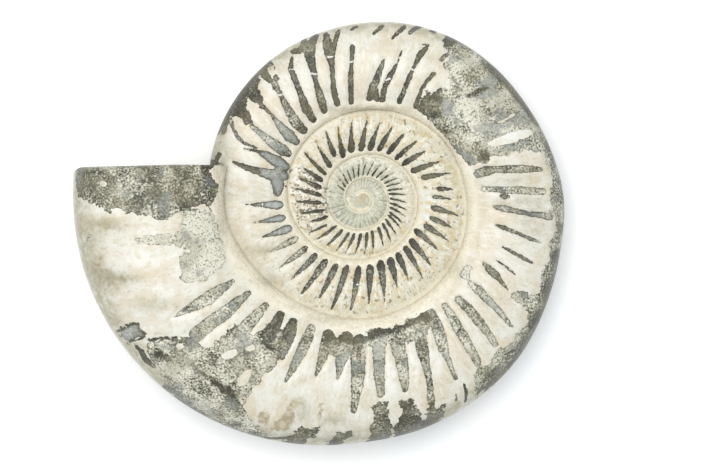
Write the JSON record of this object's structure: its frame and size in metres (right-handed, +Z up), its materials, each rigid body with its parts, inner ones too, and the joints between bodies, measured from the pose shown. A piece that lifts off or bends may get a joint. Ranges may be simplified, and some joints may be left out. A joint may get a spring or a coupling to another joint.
{
  "type": "polished ammonite fossil",
  "caption": "Flat coiled fossil shell with ribbed, stepped whorls and a sawn aperture end, polished and resting on one ground flank.",
  "frame": {"origin": "on the resting surface, in the middle of the fossil's bounding box", "axes": "+Z up through the coil from the ground flank, +X along the longest extent and away from the aperture side, +Y towards the sawn end's open side"},
  "size_m": [0.21, 0.181, 0.0524],
  "materials": {
    "polished_fossil_stone": "polished cream calcite ribs over grey-brown speckled matrix, with a soft gloss"
  },
  "bodies": {
    "root": {"ammonite": "polished_fossil_stone"}
  },
  "joints": []
}
